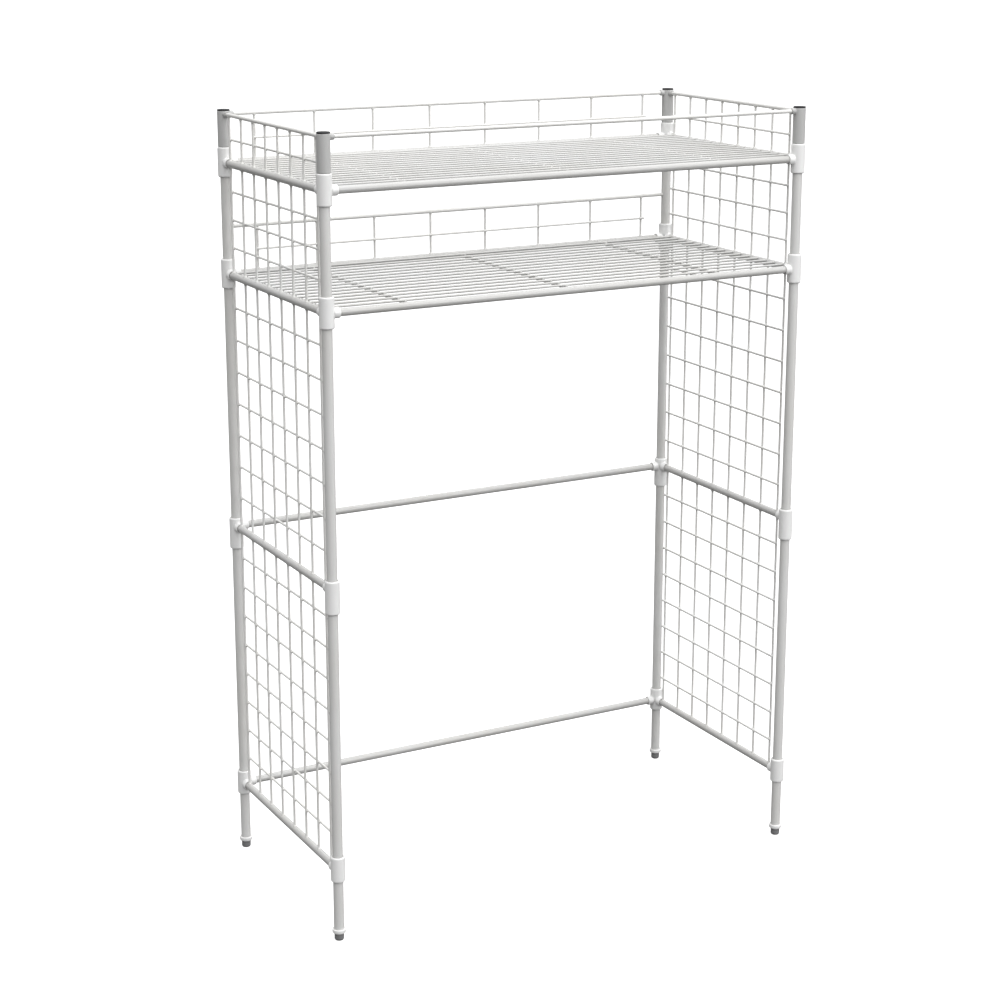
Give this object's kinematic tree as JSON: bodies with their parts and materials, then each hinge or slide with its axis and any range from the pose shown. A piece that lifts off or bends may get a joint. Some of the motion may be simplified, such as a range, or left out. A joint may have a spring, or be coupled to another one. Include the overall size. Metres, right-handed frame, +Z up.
{
  "type": "over the toilet storage rack",
  "caption": "Free-standing white steel rack that stands over a toilet, with wire shelves above, wire grid sides, and an open front and back.",
  "frame": {"origin": "on the floor, in the middle of the four feet", "axes": "+Z up, +X to the right along the shelves, -Y to the open front"},
  "size_m": [0.678, 0.328, 1],
  "materials": {
    "white_tube": "gloss white powder coat",
    "white_wire": "gloss white powder coat on wire",
    "white_connector": "moulded, satin",
    "white_finial": "moulded, satin",
    "grey_foot": "moulded, matt",
    "bare_steel": "plain drawn tube"
  },
  "bodies": {
    "root": {"lower_post_front_left": "white_tube", "upper_post_front_left": "white_tube", "foot_front_left": "grey_foot", "finial_front_left": "white_finial", "bottom_connector_front_left": "white_connector", "mid_connector_front_left": "white_connector", "lower_shelf_connector_front_left": "white_connector", "upper_shelf_connector_front_left": "white_connector", "lower_post_front_right": "white_tube", "upper_post_front_right": "white_tube", "foot_front_right": "grey_foot", "finial_front_right": "white_finial", "bottom_connector_front_right": "white_connector", "mid_connector_front_right": "white_connector", "lower_shelf_connector_front_right": "white_connector", "upper_shelf_connector_front_right": "white_connector", "lower_post_back_left": "white_tube", "upper_post_back_left": "white_tube", "foot_back_left": "grey_foot", "finial_back_left": "white_finial", "bottom_connector_back_left": "white_connector", "mid_connector_back_left": "white_connector", "lower_shelf_connector_back_left": "white_connector", "upper_shelf_connector_back_left": "white_connector", "lower_post_back_right": "white_tube", "upper_post_back_right": "white_tube", "foot_back_right": "grey_foot", "finial_back_right": "white_finial", "bottom_connector_back_right": "white_connector", "mid_connector_back_right": "white_connector", "lower_shelf_connector_back_right": "white_connector", "upper_shelf_connector_back_right": "white_connector", "post_joiners": "bare_steel", "rear_bottom_rail": "white_tube", "rear_mid_rail": "white_tube", "left_bottom_rail": "white_tube", "left_mid_rail": "white_tube", "right_bottom_rail": "white_tube", "right_mid_rail": "white_tube", "lower_shelf_front_rail": "white_tube", "lower_shelf_rear_rail": "white_tube", "lower_shelf_left_rail": "white_tube", "lower_shelf_right_rail": "white_tube", "lower_shelf_deck": "white_wire", "upper_shelf_front_rail": "white_tube", "upper_shelf_rear_rail": "white_tube", "upper_shelf_left_rail": "white_tube", "upper_shelf_right_rail": "white_tube", "upper_shelf_deck": "white_wire", "left_lower_grid": "white_wire", "left_upper_grid": "white_wire", "left_shelf_grid": "white_wire", "left_top_guard": "white_wire", "right_lower_grid": "white_wire", "right_upper_grid": "white_wire", "right_shelf_grid": "white_wire", "right_top_guard": "white_wire", "lower_shelf_rear_guard": "white_wire", "upper_shelf_rear_guard": "white_wire", "upper_shelf_front_guard": "white_wire"}
  },
  "joints": []
}
